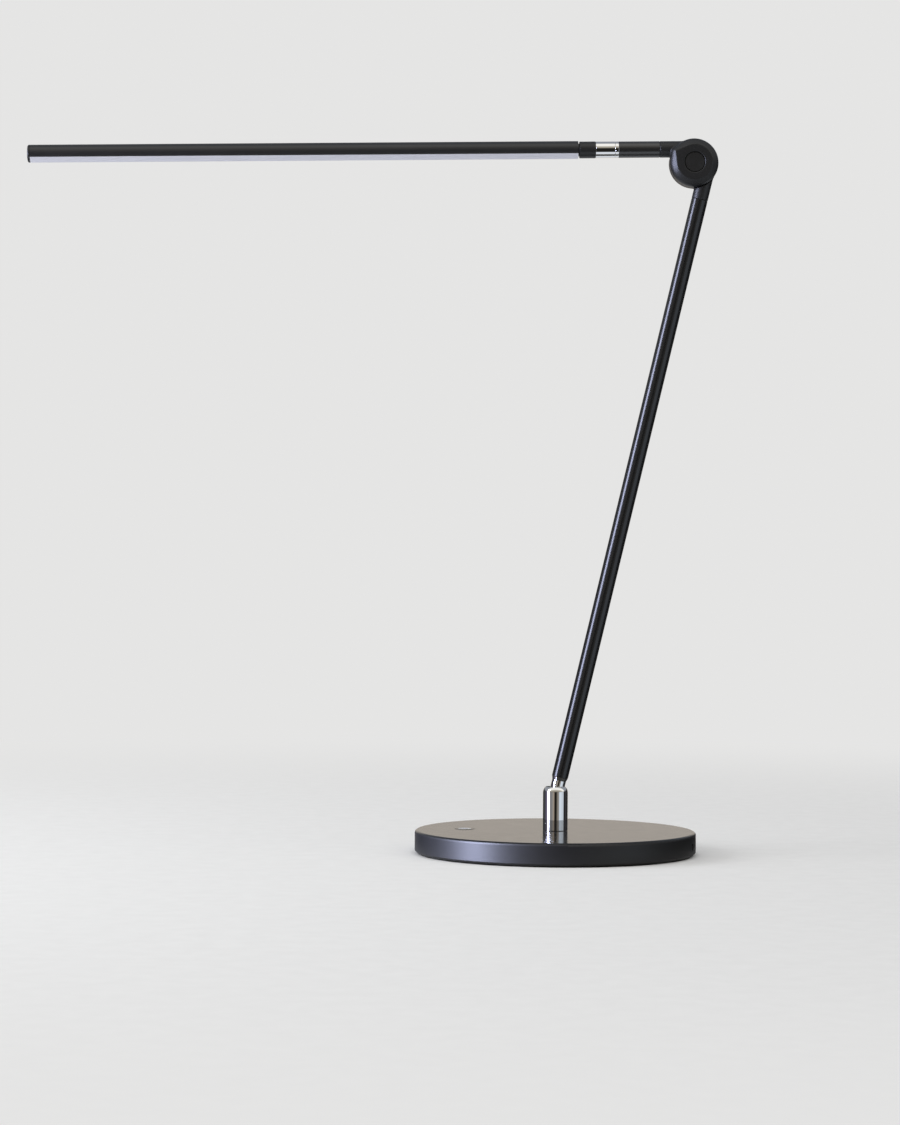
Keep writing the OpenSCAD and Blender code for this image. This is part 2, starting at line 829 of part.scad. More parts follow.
// Post
module neck() {
  color(chrome)
  in_post()
    difference() {
      union() {
        rod_y(foot_r, -foot_w / 2, foot_w / 2);
        slab(-foot_r, foot_r, -foot_w / 2, foot_w / 2, 0, shoulder_s + cut);
        rod(neck_r, shoulder_s, neck_len);
        translate([0, 0, neck_len]) cylinder(r1 = neck_r, r2 = tube_r - 0.1, h = flare_len);
        rod(spigot_r, neck_len, tube_s + neck_spigot_len);
      }
      rod(neck_bore_r, -foot_r - cut, tube_s + neck_spigot_len + cut);
      rod_y(trunnion_d / 2 + run_gap, -foot_w / 2 - cut, -neck_bore_r - 0.6);
      rod_y(trunnion_d / 2 + run_gap, neck_bore_r + 0.6, foot_w / 2 + cut);
    }
}

module neck_bush() {
  color(black_plastic)
  in_post()
    difference() {
      rod(tube_in_r - seat_gap, tube_s + seat_gap, tube_s + neck_spigot_len - 4);
      rod(spigot_r + seat_gap, tube_s, tube_s + neck_spigot_len);
    }
}

module post_tube() {
  color(black) in_post() ring(tube_r, tube_in_r, tube_s + seat_gap, seam_s - seat_gap);
}

// The outline of half the knuckle, turned about the elbow's axis
module knuckle_outline() {
  turn_r = knuckle_r - rim_round * (1 - sin(flank_slope));
  rim_y = face_y - rim_round * cos(flank_slope) - (turn_r - face_r) * tan(flank_slope);
  turn = [
    for (k = [0 : 4])
      let (a = 90 - (90 - flank_slope) * k / 4)
        [knuckle_r - rim_round * (1 - sin(a)), rim_y + rim_round * cos(a)]
  ];
  polygon(concat([[0, face_gap], [knuckle_r, face_gap]], turn, [[face_r, face_y], [0, face_y]]));
}

// A fairing that runs the knuckle's face out to a point over its stub
module knuckle_fairing() {
  hull() {
    translate([cusp_x, face_gap, cusp_z]) rotate([-90, 0, 0]) cylinder(r = 0.6, h = half_t, $fn = 16);
    translate([0, face_y - 0.5, 0]) rotate([-90, 0, 0]) cylinder(r = face_r - 1.5, h = 0.5, $fn = 48);
    translate([arm_offset - 2.4, face_gap, -8.5]) rotate([-90, 0, 0])
      cylinder(r = tube_r, h = half_t - 4.6, $fn = 32);
    translate([arm_offset, 0, -stub_len + 5]) cylinder(r = tube_r - 0.5, h = 1, $fn = 32);
  }
}

// Half of the knuckle behind the XZ plane, with its stub toward -Z
module knuckle_half() {
  difference() {
    union() {
      rotate([-90, 0, 0]) rotate_extrude() knuckle_outline();
      translate([arm_offset, 0, 0]) rod(tube_r, -stub_len, -5);
      translate([arm_offset, 0, 0]) rod(tube_in_r - seat_gap, -stub_len - stub_spigot_len, -stub_len + cut);
      knuckle_fairing();
    }
    rod_y(knuckle_r + swing_gap, -2 * tube_r, face_gap);
    rod_y(bolt_r + run_gap, 0, face_y);
    rod_y(cap_recess_r, floor_y, face_y + cut);
    rod_y(friction_r + 0.1, 0, friction_t / 2 + seat_gap);
    ring_y(channel_circle_r + channel_w / 2, channel_circle_r - channel_w / 2, 0, channel_depth);
    translate([arm_offset, wire_y, 0])
      rod(wire_r + 0.5, -stub_len - stub_spigot_len - cut, -channel_circle_r / 2);
  }
}

// A cap behind the XZ plane, with its skirt on the floor of the recess
module knuckle_cap() {
  difference() {
    union() {
      rod_y(cap_r, face_y - cap_sink - cap_t, face_y - cap_sink);
      rod_y(cap_recess_r - seat_gap, floor_y + seat_gap, face_y - cap_sink - cap_t);
    }
    rod_y(cap_recess_r - cap_skirt, floor_y, face_y - cap_sink - cap_t);
    translate([-0.8, face_y - cap_sink - 0.5, -cap_r - cut]) cube([1.6, 1, 0.8 + cut]);
  }
}

module post_knuckle() {
  color(black) at_post_elbow() knuckle_half();
}

module elbow_bolt() {
  color(steel)
  at_post_elbow() {
    rod_y(bolt_r, -floor_y - 1, floor_y + 3.4);
    rod_y(bolt_r + 2, -floor_y - 3.2, -floor_y - 0.6);
  }
}

module elbow_washer() {
  color(brass) at_arm_elbow() ring_y(bolt_r + 2.8, bolt_r + run_gap, -floor_y - 0.55, -floor_y - 0.05);
}

module elbow_spring_washer() {
  color(steel)
  at_post_elbow() rotate([90, 0, 0]) translate([0, 0, -floor_y - 0.85])
    cone_washer(bolt_r + 2.8, bolt_r + 0.1, 0.4, 0.8);
}

module elbow_nut() {
  nut_y = floor_y + 0.9;
  color(steel)
  at_post_elbow()
    difference() {
      translate([0, nut_y, 0]) rotate([-90, 0, 0]) cylinder(r = bolt_r + 2.7, h = 2.4, $fn = 6);
      rod_y(bolt_r + seat_gap, nut_y - cut, nut_y + 4);
    }
}

module elbow_friction_disc() {
  color(brass) at_post_elbow() ring_y(friction_r, bolt_r + 0.1, -friction_t / 2, friction_t / 2);
}

module rear_cap() {
  color(black_plastic) at_post_elbow() knuckle_cap();
}

// A wire through a few points that climb along Z, with eight sides
module wire_run(points) {
  last = len(points) - 1;
  rings = [for (p = points, k = [0 : 7]) p + wire_r * [cos(45 * k), sin(45 * k), 0]];
  sides = [
    for (i = [0 : last - 1], k = [0 : 7])
      let (a = 8 * i + k, b = 8 * i + (k + 1) % 8)
        each [[a, a + 8, b], [b, a + 8, b + 8]]
  ];
  foot = [[for (k = [0 : 7]) k]];
  head = [[for (k = [7 : -1 : 0]) 8 * last + k]];
  polyhedron(points = rings, faces = concat(sides, foot, head));
}

module post_wire() {
  color(black_plastic)
  in_post()
    wire_run([
      [0, 0, -foot_r + 0.3],
      [0, 0, tube_s + neck_spigot_len + 20],
      [0, wire_y, seam_s - stub_spigot_len - 10],
      [0, wire_y, post_len - channel_circle_r / 2 - 1]
    ]);
}

// Arm
module arm_knuckle() {
  color(black) at_arm_elbow() rotate([180, 0, 0]) knuckle_half();
}

module front_cap() {
  color(black_plastic) at_arm_elbow() rotate([0, 0, 180]) rotate([0, 90, 0]) knuckle_cap();
}

module arm_tube() {
  color(black) in_head() ring(tube_r, tube_in_r, stub_len + seat_gap, ring_u - seat_gap);
}

module arm_ring() {
  color(chrome)
  in_head()
    difference() {
      ring(tube_r, spindle_r + seat_gap, ring_u, ring_u + ring_len);
      translate([0, 0, ring_u + ring_len - twist_slot_depth]) rotate([0, 0, -105])
        rotate_extrude(angle = 210)
          translate([twist_circle_r - twist_pin_r - 0.1, 0])
            square([twist_pin_d + 0.2, twist_slot_depth + cut]);
    }
}

module head_spindle() {
  color(steel)
  in_head()
    difference() {
      union() {
        rod(tube_in_r - seat_gap, ring_u - seat_gap - spindle_seat_len, ring_u - seat_gap);
        rod(spindle_r, ring_u - cut, spindle_end_u);
      }
      rod(spindle_bore_r, stub_len, spindle_end_u + cut);
    }
}

module spindle_washer() {
  color(brass)
  in_head()
    ring(collar_bore_r - 0.2, spindle_r + seat_gap, spindle_washer_u,
         spindle_washer_u + spindle_washer_t);
}

module spindle_nut() {
  color(steel)
  in_head()
    difference() {
      translate([0, 0, spindle_nut_u]) cylinder(r = collar_bore_r - 0.1, h = spindle_nut_t, $fn = 6);
      rod(spindle_r + seat_gap, spindle_nut_u - cut, spindle_nut_u + spindle_nut_t + cut);
    }
}

module arm_wire() {
  color(black_plastic)
  in_head()
    wire_run([
      [0, -wire_y, channel_circle_r / 2 + 1],
      [0, -wire_y, stub_len + stub_spigot_len + 0.5],
      [0, 0, ring_u - spindle_seat_len - 0.5],
      [0, 0, spindle_end_u - 0.5]
    ]);
}

// Head
module head_sleeve() {
  color(chrome)
  in_head()
    difference() {
      union() {
        rod(tube_r, sleeve_u, collar_u);
        rod(sleeve_spigot_r, collar_u - cut, collar_u + sleeve_spigot_len);
      }
      rod(spindle_r + run_gap, sleeve_u - cut, collar_u + sleeve_spigot_len + cut);
      translate([twist_circle_r, 0, 0]) rod(twist_pin_r + 0.02, sleeve_u - cut, sleeve_u + 5);
    }
}

module twist_stop_pin() {
  color(steel)
  in_head() translate([twist_circle_r, 0, 0])
    rod(twist_pin_r, ring_u + ring_len - twist_slot_depth + 0.2, sleeve_u + 4.9);
}

// A plug for the head's extrusion that leaves room for the diffuser's lips
module head_plug(z0, z1) {
  intersection() {
    rod(plug_r, z0, z1);
    slab(-slot_drop + 1.9, head_r, -head_r, head_r, z0, z1);
  }
}

module head_collar() {
  color(black_plastic)
  in_head()
    difference() {
      union() {
        rod(collar_d / 2, collar_u + seat_gap, collar_end_u);
        rod(head_r - groove_depth, collar_end_u - cut, head_u);
        head_plug(head_u - cut, head_u + plug_len);
      }
      rod(collar_bore_r, collar_u, collar_wall_u);
      rod(wire_r + 0.3, collar_u, head_u + plug_len + cut);
    }
}

module head_outline() {
  difference() {
    circle(r = head_r);
    difference() {
      circle(r = head_in_r);
      translate([web_rise, -head_r]) square([seat_t, head_d]);
    }
    translate([-head_d, -head_r]) square([head_d - slot_drop, head_d]);
  }
}

module head_housing() {
  color(black)
  in_head()
    difference() {
      translate([0, 0, head_u]) linear_extrude(head_len) head_outline();
      rod(head_in_r, head_u - cut, head_u + plug_len + 1);
      rod(head_in_r, head_end_u - plug_len - 1, head_end_u + cut);
    }
}

// The lens and the two lips that clip it into the extrusion
module diffuser_outline() {
  lip_r = head_in_r - 0.1;
  difference() {
    intersection() {
      circle(r = head_r);
      translate([-head_d, -head_r]) square([head_d - slot_drop - seat_gap, head_d]);
    }
    circle(r = head_r - diffuser_t);
  }
  difference() {
    intersection() {
      circle(r = lip_r);
      translate([-head_d, -head_r]) square([head_d - slot_drop + 1.2, head_d]);
    }
    circle(r = lip_r - 0.9);
    translate([-head_d, -head_r]) square([head_d - slot_drop - 1.2, head_d]);
  }
}

module diffuser() {
  color("#c9cbdc")
  in_head() translate([0, 0, head_u + seat_gap]) linear_extrude(head_len - 2 * seat_gap) diffuser_outline();
}

module led_strip() {
  color("white") in_head() slab(strip_x, strip_x + strip_t, -strip_w / 2, strip_w / 2, strip_u0, strip_u1);
}

module leds() {
  color("#f2e7a8")
  in_head()
    for (i = [0 : chip_count - 1])
      translate([strip_x - chip_t - 0.02, -chip_w / 2, chip_u0 + i * chip_pitch - chip_l / 2])
        cube([chip_t, chip_w, chip_l]);
}

module end_cap() {
  end_u = head_end_u + seat_gap;
  color(black_plastic)
  in_head() {
    translate([0, 0, end_u])
      rotate_extrude()
        difference() {
          square([head_r, end_cap_t]);
          difference() {
            translate([head_r - end_cap_round, end_cap_t - end_cap_round]) square(end_cap_round + cut);
            translate([head_r - end_cap_round, end_cap_t - end_cap_round]) circle(r = end_cap_round);
          }
        }
    head_plug(head_end_u - plug_len, end_u + cut);
  }
}

module head_wire() {
  color(black_plastic) in_head() rod(wire_r * 0.8, spindle_end_u + 0.3, strip_u0 - seat_gap);
}

base_cover();
base_weight();
base_plate();
foot_pad();
base_screws();
swivel_bush();
swivel_stop_pin();
switch_board();
tact_switch();
power_board();
power_parts();
board_screws();
dc_jack();
dc_jack_pin();
usb_shell();
usb_tongue();
base_wire();
switch_wire();
button_cap();
button_inlay();
button_spring();
swivel_housing();
swivel_fork();
swivel_shaft();
swivel_washer();
swivel_spring_washer();
swivel_nut();
trunnion_pins();
tilt_washers();
swivel_wire();
neck();
neck_bush();
post_tube();
post_knuckle();
elbow_bolt();
elbow_nut();
elbow_spring_washer();
elbow_friction_disc();
rear_cap();
post_wire();
arm_knuckle();
elbow_washer();
front_cap();
arm_tube();
arm_ring();
head_spindle();
spindle_washer();
spindle_nut();
arm_wire();
head_sleeve();
head_collar();
twist_stop_pin();
head_housing();
diffuser();
led_strip();
leds();
end_cap();
head_wire();
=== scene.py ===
"""A folding LED desk lamp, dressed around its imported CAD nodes. Lengths are metres in the CAD's frame."""

import json
import math

import bmesh
import bpy
import numpy as np
from mathutils import Matrix, Vector


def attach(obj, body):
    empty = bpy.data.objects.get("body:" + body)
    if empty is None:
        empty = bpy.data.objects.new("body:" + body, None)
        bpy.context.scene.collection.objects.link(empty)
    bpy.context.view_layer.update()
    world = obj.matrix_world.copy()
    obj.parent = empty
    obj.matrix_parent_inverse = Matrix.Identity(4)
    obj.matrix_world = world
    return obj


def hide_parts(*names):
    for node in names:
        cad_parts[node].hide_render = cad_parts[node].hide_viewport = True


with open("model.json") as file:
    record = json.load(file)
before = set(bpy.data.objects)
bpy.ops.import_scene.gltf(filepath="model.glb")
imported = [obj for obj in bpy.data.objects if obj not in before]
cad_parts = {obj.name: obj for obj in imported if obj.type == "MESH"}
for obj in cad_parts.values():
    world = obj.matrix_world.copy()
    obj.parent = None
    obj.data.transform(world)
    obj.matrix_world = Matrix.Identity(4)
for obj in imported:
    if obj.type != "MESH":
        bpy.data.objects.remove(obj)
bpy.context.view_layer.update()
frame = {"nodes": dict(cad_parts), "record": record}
MM = 0.001

# ---------------------------------------------------------------- camera
CAMERA_AT = Vector((-118.67, -2418.29, 237.41))  # millimetres
CAMERA_TURNS = (-0.8063, -0.1854, 0.4058)  # yaw, pitch and roll, in degrees
CAMERA_LENS, SENSOR_WIDTH = 97.93, 36
CLIP_NEAR, CLIP_FAR = 0.05, 60


def make_camera():
    bpy.context.scene.view_settings.view_transform = "Standard"
    yaw, pitch, roll = (math.radians(v) for v in CAMERA_TURNS)
    turn = Matrix.Rotation(yaw, 3, "Z") @ Matrix.Rotation(pitch, 3, "X")
    right, ahead, up = turn.col[0], turn.col[1], turn.col[2]
    c, s = math.cos(roll), math.sin(roll)
    axes = Matrix((c * right + s * up, c * up - s * right, -ahead)).transposed()
    data = bpy.data.cameras.new("camera")
    data.sensor_width = SENSOR_WIDTH
    data.lens = CAMERA_LENS
    data.clip_start, data.clip_end = CLIP_NEAR, CLIP_FAR
    cam = bpy.data.objects.new("camera", data)
    cam.matrix_world = Matrix.Translation(CAMERA_AT * MM) @ axes.to_4x4()
    bpy.context.scene.collection.objects.link(cam)
    bpy.context.scene.camera = cam


# ---------------------------------------------------------------- node trees
def grey(v):
    return (v, v, v)


class Tree:
    """A short way to write a node tree: t.node("TexNoise", Scale=5) and t.link(a, b)."""

    def __init__(self, owner):
        owner.use_nodes = True
        self.nt = owner.node_tree

    def link(self, a, b):
        self.nt.links.new(a, b)

    def put(self, v, socket):
        """Links an output, or sets a constant."""
        if isinstance(v, bpy.types.NodeSocket):
            self.link(v, socket)
        else:
            socket.default_value = v

    def node(self, kind, out=None, **values):
        n = self.nt.nodes.new("ShaderNode" + kind)
        for key, v in values.items():
            self.put(v, n.inputs[key.replace("_", " ")])
        return n.outputs[out] if out is not None else n

    def ramp(self, fac, *stops, interpolation="LINEAR"):
        n = self.node("ValToRGB", Fac=fac)
        n.color_ramp.interpolation = interpolation
        while len(n.color_ramp.elements) < len(stops):
            n.color_ramp.elements.new(1)
        for e, (place, colour) in zip(n.color_ramp.elements, stops):
            e.position = place
            e.color = (*colour, 1)
        return n.outputs[0]

    def fade(self, fac, start, end, first=0, last=1, **how):
        """From the first grey to the last, between two values of fac."""
        return self.ramp(fac, (start, grey(first)), (end, grey(last)), **how)

    def spread(self, noise, low, high):
        """From one colour to another over the middle of a noise."""
        return self.ramp(noise, (0.3, low), (0.7, high))

    def math(self, operation, *values):
        n = self.node("Math")
        n.operation = operation
        for socket, v in zip(n.inputs, values):
            self.put(v, socket)
        return n.outputs[0]

    def blend(self, fac, a, b):
        n = self.node("Mix")
        n.data_type = "RGBA"
        for socket, v in zip((n.inputs[0], n.inputs[6], n.inputs[7]), (fac, a, b)):
            self.link(v, socket)
        return n.outputs[2]


# ---------------------------------------------------------------- studio
WALL = (0.785, 0.783, 0.778)
BACK = (0.68, 0.62, 0.55)
PALE = (0.80, 0.84, 0.91)
# What shiny pieces mirror. ROOM goes round from the camera's side towards +X: azimuth in degrees, colour.
ROOM = (
    (-180, BACK), (-163, BACK), (-159, (0.03, 0.03, 0.035)), (-138, (0.03, 0.03, 0.035)),
    (-128, (0.06, 0.06, 0.065)), (-108, (0.05, 0.05, 0.06)), (-94, (0.16, 0.14, 0.22)),
    (-66, (0.42, 0.40, 0.44)), (-56, (0.34, 0.34, 0.35)), (-43, (0.24, 0.24, 0.25)),
    (-35, (0.22, 0.21, 0.21)), (-28, (0.31, 0.30, 0.28)), (-15, (0.37, 0.30, 0.24)),
    (-9, (0.012, 0.012, 0.010)), (6, (0.014, 0.014, 0.012)), (14, (0.17, 0.15, 0.12)),
    (24, (0.30, 0.28, 0.26)), (31, (0.30, 0.28, 0.26)), (35, (0.70, 0.78, 0.88)), (52, (0.70, 0.78, 0.88)),
    (60, (0.62, 0.68, 0.76)), (76, (0.62, 0.68, 0.76)), (82, (0.02, 0.02, 0.02)), (98, (0.022, 0.022, 0.022)),
    (106, (0.055, 0.052, 0.06)), (114, (0.026, 0.026, 0.028)), (158, (0.03, 0.03, 0.032)), (164, BACK),
    (180, BACK),
)
# OVERHEAD goes from the camera's side over the top and down the back, and UNDERFOOT does so below.
OVERHEAD = (
    (0, (0.06, 0.055, 0.045)), (14, (0.12, 0.11, 0.09)), (22, (0.33, 0.30, 0.25)), (40, (0.58, 0.55, 0.48)),
    (52, (1.05, 1.03, 0.99)), (80, (1.05, 1.03, 0.99)), (94, (0.30, 0.32, 0.36)), (155, (0.30, 0.32, 0.36)),
    (180, (0.60, 0.57, 0.53)),
)
UNDERFOOT = (
    (0, (0.02, 0.02, 0.02)), (36, (0.03, 0.03, 0.03)), (42, PALE), (66, PALE), (72, (0.12, 0.12, 0.12)),
    (104, (0.12, 0.12, 0.12)), (110, PALE), (180, (0.52, 0.52, 0.53)),
)
# where ROOM gives way to OVERHEAD and UNDERFOOT, as a share of the way from straight down to straight up
OVERHEAD_FADE, UNDERFOOT_FADE = (0.58, 0.66), (0.27, 0.33)


def make_world():
    world = bpy.data.worlds.new("room")
    bpy.context.scene.world = world
    t = Tree(world)
    t.nt.nodes.clear()
    split = t.node("SeparateXYZ", Vector=t.node("TexCoord", "Generated"))
    east, north, height = split.outputs
    toward = t.math("MULTIPLY", north, -1)
    around = t.math("MULTIPLY_ADD", t.math("ARCTAN2", east, toward), 0.5 / math.pi, 0.5)
    bands = t.ramp(around, *[((a + 180) / 360, c) for a, c in ROOM])
    over = t.math("DIVIDE", t.math("ARCTAN2", t.math("ABSOLUTE", height), toward), math.pi)
    high = t.ramp(over, *[(a / 180, c) for a, c in OVERHEAD])
    low = t.ramp(over, *[(a / 180, c) for a, c in UNDERFOOT])
    up = t.math("MULTIPLY_ADD", height, 0.5, 0.5)
    colour = t.blend(t.fade(up, *OVERHEAD_FADE), bands, high)
    colour = t.blend(t.fade(up, *UNDERFOOT_FADE, first=1, last=0), colour, low)
    room = t.node("Background", "Background", Color=colour)
    plain = t.node("Background", "Background", Color=(*WALL, 1))
    both = t.node("MixShader", Fac=t.node("LightPath", "Is Camera Ray"))
    t.link(room, both.inputs[1])
    t.link(plain, both.inputs[2])
    t.link(both.outputs[0], t.node("OutputWorld").inputs[0])


WINDOW_TARGET = (0, 0, 0.28)
WINDOW_HEIGHT = 1.7
DAYLIGHT_AT, DAYLIGHT_COLOUR = (-2.16, -0.42, 0.55), (0.95, 0.97, 1.0)
DAYLIGHT_WIDTH, DAYLIGHT = 1.30, 7.0
GLINT_AT, GLINT_COLOUR = (-2.04, -0.78, 0.55), (0.66, 0.71, 1.0)
# width in metres and radiance of what most pieces, the base and the post mirror
GLINTS = {"window_glint": (0.42, 44.0), "window_on_satin": (0.42, 102.0), "window_on_gloss": (0.84, 17.0)}


def window_light(name, place, width, radiance, colour):
    data = bpy.data.lights.new(name, "AREA")
    data.shape = "RECTANGLE"
    data.size, data.size_y = width, WINDOW_HEIGHT
    data.energy = radiance * math.pi * width * WINDOW_HEIGHT
    data.color = colour
    lamp = bpy.data.objects.new(name, data)
    lamp.location = place
    lamp.rotation_euler = (Vector(WINDOW_TARGET) - Vector(place)).to_track_quat("-Z", "Y").to_euler()
    bpy.context.scene.collection.objects.link(lamp)
    return lamp


def light_only(light, name, pieces, state="INCLUDE"):
    """Lights these pieces and nothing else, or everything but these pieces."""
    group = bpy.data.collections.new(name)
    light.light_linking.receiver_collection = group
    for piece in pieces:
        group.objects.link(piece)
    for item in group.collection_objects:
        item.light_linking.link_state = state


def make_window():
    """One window on the left: its daylight, and the bluer look that glossy paint mirrors."""
    daylight = window_light("window_daylight", DAYLIGHT_AT, DAYLIGHT_WIDTH, DAYLIGHT, DAYLIGHT_COLOUR)
    daylight.visible_glossy = False
    glints = [window_light(name, GLINT_AT, width, radiance, GLINT_COLOUR)
              for name, (width, radiance) in GLINTS.items()]
    for light in glints:
        light.visible_diffuse = False
        light.visible_transmission = False
    glint, satin, gloss = glints
    satin.visible_camera = False
    post, *floor = (bpy.data.objects[name] for name in ("post_pipe", "floor_near", "floor_far"))
    light_only(satin, "satin_pieces", [frame["nodes"]["base_cover"]])
    light_only(gloss, "gloss_pieces", [post])
    light_only(glint, "not_glossy_pieces", [post, *floor], state="EXCLUDE")


def mesh_object(name, verts, faces, smooth=True):
    mesh = bpy.data.meshes.new(name)
    mesh.from_pydata([tuple(v) for v in verts], [], faces)
    mesh.update()
    if smooth:
        mesh.shade_smooth()
    obj = bpy.data.objects.new(name, mesh)
    bpy.context.scene.collection.objects.link(obj)
    return obj


FLOOR_HOLE_R, FLOOR_SPLIT_R, FLOOR_R = 0.0005, 0.135, 9
FLOOR_DARK, FLOOR_LIGHT, FLOOR_LIFT = (0.765, 0.765, 0.76), (0.80, 0.80, 0.795), 0.17
# a reach from the lamp's middle, and the shares of it between which the floor changes: first from the painted
# shade round the base to the lifted floor, then into the wall
LIFT_REACH, LIFT_FADE = 0.2, (0.54, 0.575)
WALL_REACH, WALL_FADE = 3.0, (0.12, 0.5)


def floor_ring(name, r0, r1, steps=96):
    turns = [k * math.tau / steps for k in range(steps)]
    verts = [(r * math.cos(a), r * math.sin(a), 0) for r in (r0, r1) for a in turns]
    faces = [(steps + k, steps + (k + 1) % steps, (k + 1) % steps, k) for k in range(steps)]
    return mesh_object(name, verts, faces, smooth=False)


def floor_material():
    """Pale paper that looks a little lighter beyond the base, where a glow lifts it for the camera; the
    unlifted ring right round the base is painted shade. It turns into the wall further out.
    """
    m = bpy.data.materials.new("floor")
    t = Tree(m)
    bsdf = t.nt.nodes["Principled BSDF"]
    bsdf.inputs["Roughness"].default_value = 0.85
    bsdf.inputs["Specular IOR Level"].default_value = 0.2
    where = t.node("TexCoord", "Object")
    noise = t.node("TexNoise", "Fac", Vector=where, Scale=60, Detail=6)
    t.link(t.spread(noise, FLOOR_DARK, FLOOR_LIGHT), bsdf.inputs["Base Color"])
    length = t.node("VectorMath")
    length.operation = "LENGTH"
    t.link(where, length.inputs[0])
    distance = length.outputs["Value"]
    camera_ray = t.node("LightPath", "Is Camera Ray")
    lift = t.node("Emission", Color=(*grey(FLOOR_LIFT), 1))
    # the lift is held back right round the base, which leaves a painted contact shade there
    clear = t.fade(t.math("DIVIDE", distance, LIFT_REACH), *LIFT_FADE)
    t.link(t.math("MULTIPLY", clear, camera_ray), lift.inputs["Strength"])
    lifted = t.node("AddShader")
    t.link(bsdf.outputs[0], lifted.inputs[0])
    t.link(lift.outputs[0], lifted.inputs[1])
    away = t.fade(t.math("DIVIDE", distance, WALL_REACH), *WALL_FADE, interpolation="EASE")
    wall = t.node("Emission", Color=(*WALL, 1), Strength=1.0)
    mix = t.node("MixShader", Fac=t.math("MULTIPLY", away, camera_ray))
    t.link(lifted.outputs[0], mix.inputs[1])
    t.link(wall.outputs[0], mix.inputs[2])
    t.link(mix.outputs[0], t.nt.nodes["Material Output"].inputs[0])
    return m


def make_stage():
    near = floor_ring("floor_near", FLOOR_HOLE_R, FLOOR_SPLIT_R)
    far = floor_ring("floor_far", FLOOR_SPLIT_R, FLOOR_R)
    far.visible_glossy = False
    m = floor_material()
    for o in (near, far):
        o.data.materials.append(m)


# ---------------------------------------------------------------- materials
POLISHED_FADE = (0.5, 0.8)  # how far up a face has to look to be polished


def material(name, base, roughness, metallic=0.0, polished=None, mottle=0.15, grain=300, bump=0.1, depth=0.02,
             stretch=(1, 1, 1), rough_span=0.05, **sockets):
    """A procedural material: mottled colour, uneven roughness and a fine bump. depth is in millimetres."""
    m = bpy.data.materials.new(name)
    t = Tree(m)
    bsdf = t.nt.nodes["Principled BSDF"]
    bsdf.inputs["Metallic"].default_value = metallic
    for key, v in sockets.items():
        bsdf.inputs[key.replace("_", " ")].default_value = v
    where = t.node("TexCoord", "Object")
    mapped = t.node("Mapping", "Vector", Vector=where, Scale=stretch)
    fine = t.node("TexNoise", "Fac", Vector=mapped, Scale=grain, Detail=3, Roughness=0.55)
    broad = t.node("TexNoise", "Fac", Vector=where, Scale=grain / 12, Detail=4, Roughness=0.6)
    dark = tuple(v * (1 - mottle) for v in base)
    light = tuple(min(1, v * (1 + mottle)) for v in base)
    t.link(t.spread(broad, dark, light), bsdf.inputs["Base Color"])
    rough = t.spread(broad, grey(roughness - rough_span), grey(roughness + rough_span))
    if polished is not None:
        facing = t.node("SeparateXYZ", Vector=t.node("TexCoord", "Normal")).outputs[2]
        smooth = t.spread(broad, grey(polished - rough_span), grey(polished + rough_span))
        rough = t.blend(t.fade(facing, *POLISHED_FADE), rough, smooth)
    t.link(rough, bsdf.inputs["Roughness"])
    bumped = t.node("Bump", "Normal", Strength=bump, Distance=depth * MM, Height=fine)
    t.link(bumped, bsdf.inputs["Normal"])
    return m


MATERIALS = {}


def make_materials():
    paint = dict(grain=900, mottle=0.05)
    MATERIALS.update(
        black_paint=material("black_paint", (0.016, 0.0165, 0.0185), 0.36, bump=0.02, depth=0.003,
                             rough_span=0.012, Specular_IOR_Level=0.6, **paint),
        casting_paint=material("casting_paint", (0.011, 0.0113, 0.0125), 0.44, grain=1100, mottle=0.05,
                               bump=0.015, depth=0.003, rough_span=0.01, Specular_IOR_Level=0.5),
        tube_paint=material("tube_paint", (0.011, 0.0113, 0.0125), 0.22, bump=0.008, depth=0.002,
                            rough_span=0.008, Specular_IOR_Level=0.55, **paint),
        arm_paint=material("arm_paint", (0.012, 0.0122, 0.0128), 0.30, bump=0.01, depth=0.002,
                           rough_span=0.01, Specular_IOR_Level=1.0, **paint),
        cover_paint=material("cover_paint", (0.0055, 0.0056, 0.0062), 0.465, polished=0.17, bump=0.04,
                             depth=0.004, rough_span=0.01, Specular_IOR_Level=0.5, **paint),
        black_plastic=material("black_plastic", (0.014, 0.0142, 0.015), 0.40, grain=1500, mottle=0.08,
                               bump=0.08, depth=0.004),
        chrome=material("chrome", (0.86, 0.86, 0.85), 0.018, metallic=1, mottle=0.015, grain=120, bump=0.01,
                        depth=0.0004, rough_span=0.006),
        steel=material("steel", (0.52, 0.53, 0.54), 0.30, metallic=1, grain=900, stretch=(1, 1, 0.2)),
        brass=material("brass", (0.62, 0.45, 0.20), 0.28, metallic=1, grain=900),
        aluminium=material("aluminium", (0.88, 0.90, 0.93), 0.16, metallic=1, grain=1500, mottle=0.04,
                           bump=0.05, depth=0.003),
        rubber=material("rubber", (0.006, 0.006, 0.0058), 0.8, grain=1800, bump=0.5, depth=0.03,
                        Specular_IOR_Level=0.1),
        disc=material("disc", (0.80, 0.82, 0.86), 0.32, metallic=0.5, grain=900, mottle=0.02, bump=0.05,
                      depth=0.002),
        # the diffuser's bluish lavender is partly its own frosted white and partly a painted reflection of
        # the bluish window
        diffuser=material("diffuser", (0.76, 0.77, 0.89), 0.42, grain=700, mottle=0.006, bump=0.03,
                          depth=0.004),
        board=material("board", (0.02, 0.10, 0.05), 0.4, grain=700),
        strip=material("strip", (0.75, 0.75, 0.73), 0.4, grain=700),
        led=material("led", (0.85, 0.72, 0.30), 0.35, grain=700),
    )


# CAD nodes that don't wear their slot's own material
FINISH = {"base_cover": "cover_paint", "button_inlay": "disc"}


def dress_nodes():
    slots = {p["node"]: p["material_slot"] for p in frame["record"]["subparts"]}
    for name, obj in frame["nodes"].items():
        obj.data.materials.clear()
        obj.data.materials.append(MATERIALS[FINISH.get(name, slots.get(name, "black_plastic"))])


